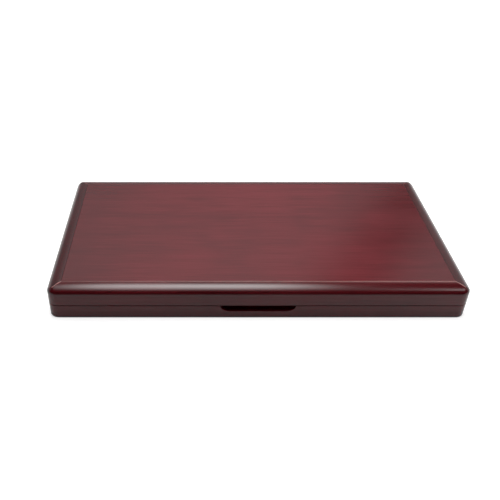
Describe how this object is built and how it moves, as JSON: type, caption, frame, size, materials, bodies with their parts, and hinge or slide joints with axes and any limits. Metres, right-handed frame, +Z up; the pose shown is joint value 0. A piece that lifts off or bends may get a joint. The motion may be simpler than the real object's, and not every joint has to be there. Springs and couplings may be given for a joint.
{
  "type": "presentation case",
  "caption": "Flat rectangular hinged presentation case in lacquered wood, with a moulded lid edge, a finger notch and a lined well.",
  "frame": {"origin": "on the resting plane under the felt, below the middle of the case", "axes": "+X along the case to the right seen from the front, +Y from the front with the finger notch to the hinges, +Z up"},
  "size_m": [0.35, 0.184, 0.0296],
  "materials": {
    "lacquered_wood": "dark red satin lacquer over fine straight grain",
    "plywood": "sanded, unlacquered",
    "felt": "pressed felt",
    "velvet": "short-pile velvet",
    "satin": "satin weave",
    "greyboard": "uncoated",
    "nickel": "nickel plated",
    "brass": "polished"
  },
  "bodies": {
    "base": {"base_front_rail": "lacquered_wood", "base_rear_rail": "lacquered_wood", "base_left_rail": "lacquered_wood", "base_right_rail": "lacquered_wood", "base_bottom_panel": "plywood", "base_felt_sheet": "felt", "base_liner_front": "velvet", "base_liner_rear": "velvet", "base_liner_left": "velvet", "base_liner_right": "velvet", "base_pad_board": "greyboard", "base_pad": "velvet", "base_magnets": "nickel", "hinge_left_base_leaf": "brass", "hinge_left_pin": "brass", "hinge_right_base_leaf": "brass", "hinge_right_pin": "brass", "base_hinge_screws": "brass"},
    "lid": {"lid_front_rail": "lacquered_wood", "lid_rear_rail": "lacquered_wood", "lid_left_rail": "lacquered_wood", "lid_right_rail": "lacquered_wood", "lid_top_panel": "lacquered_wood", "lid_pad_board": "greyboard", "lid_pad": "satin", "lid_magnets": "nickel", "hinge_left_lid_leaf": "brass", "hinge_right_lid_leaf": "brass", "lid_hinge_screws": "brass"}
  },
  "joints": [
    {"name": "lid_hinge", "type": "hinge", "parent": "base", "child": "lid", "pos_m": [0, 0.0895, 0.01275], "axis": [-1, 0, 0], "range_deg": [0, 100]}
  ]
}
